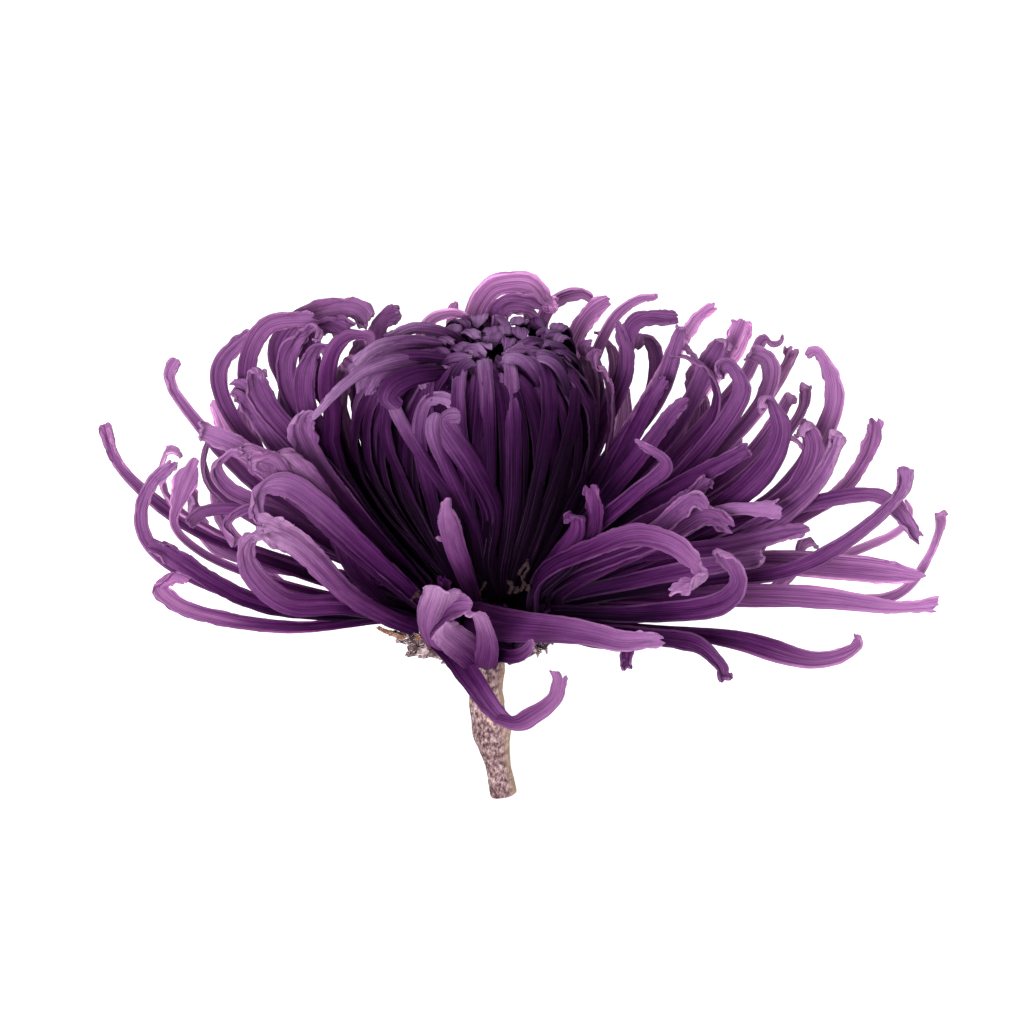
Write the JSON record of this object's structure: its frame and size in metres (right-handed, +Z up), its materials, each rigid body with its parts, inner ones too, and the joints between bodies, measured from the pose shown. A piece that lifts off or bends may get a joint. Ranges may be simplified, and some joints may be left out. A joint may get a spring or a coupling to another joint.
{
  "type": "spider chrysanthemum",
  "caption": "Cut spider chrysanthemum head lying on a surface, with long hooked ray florets round an incurved dome, dry bracts and a short stem stub.",
  "frame": {"origin": "on the surface the flower lies on, under the middle of its box", "axes": "+X across the widest spread of the florets, +Y to the back where the flower is tipped, +Z up"},
  "size_m": [0.1218, 0.0798, 0.0649],
  "materials": {
    "stem_bark": "matte, speckled grey-beige skin",
    "dry_bracts": "dry brown-grey scales with pale fuzz",
    "outer_petal": "matte ribbed mauve-purple, glowing pink where light passes through",
    "inner_petal": "matte ribbed deep purple",
    "centre_petal": "matte grey-lilac"
  },
  "bodies": {
    "root": {"stem": "stem_bark", "involucre": "dry_bracts", "outer_florets": "outer_petal", "inner_florets": "inner_petal", "centre_florets": "centre_petal"}
  },
  "joints": []
}
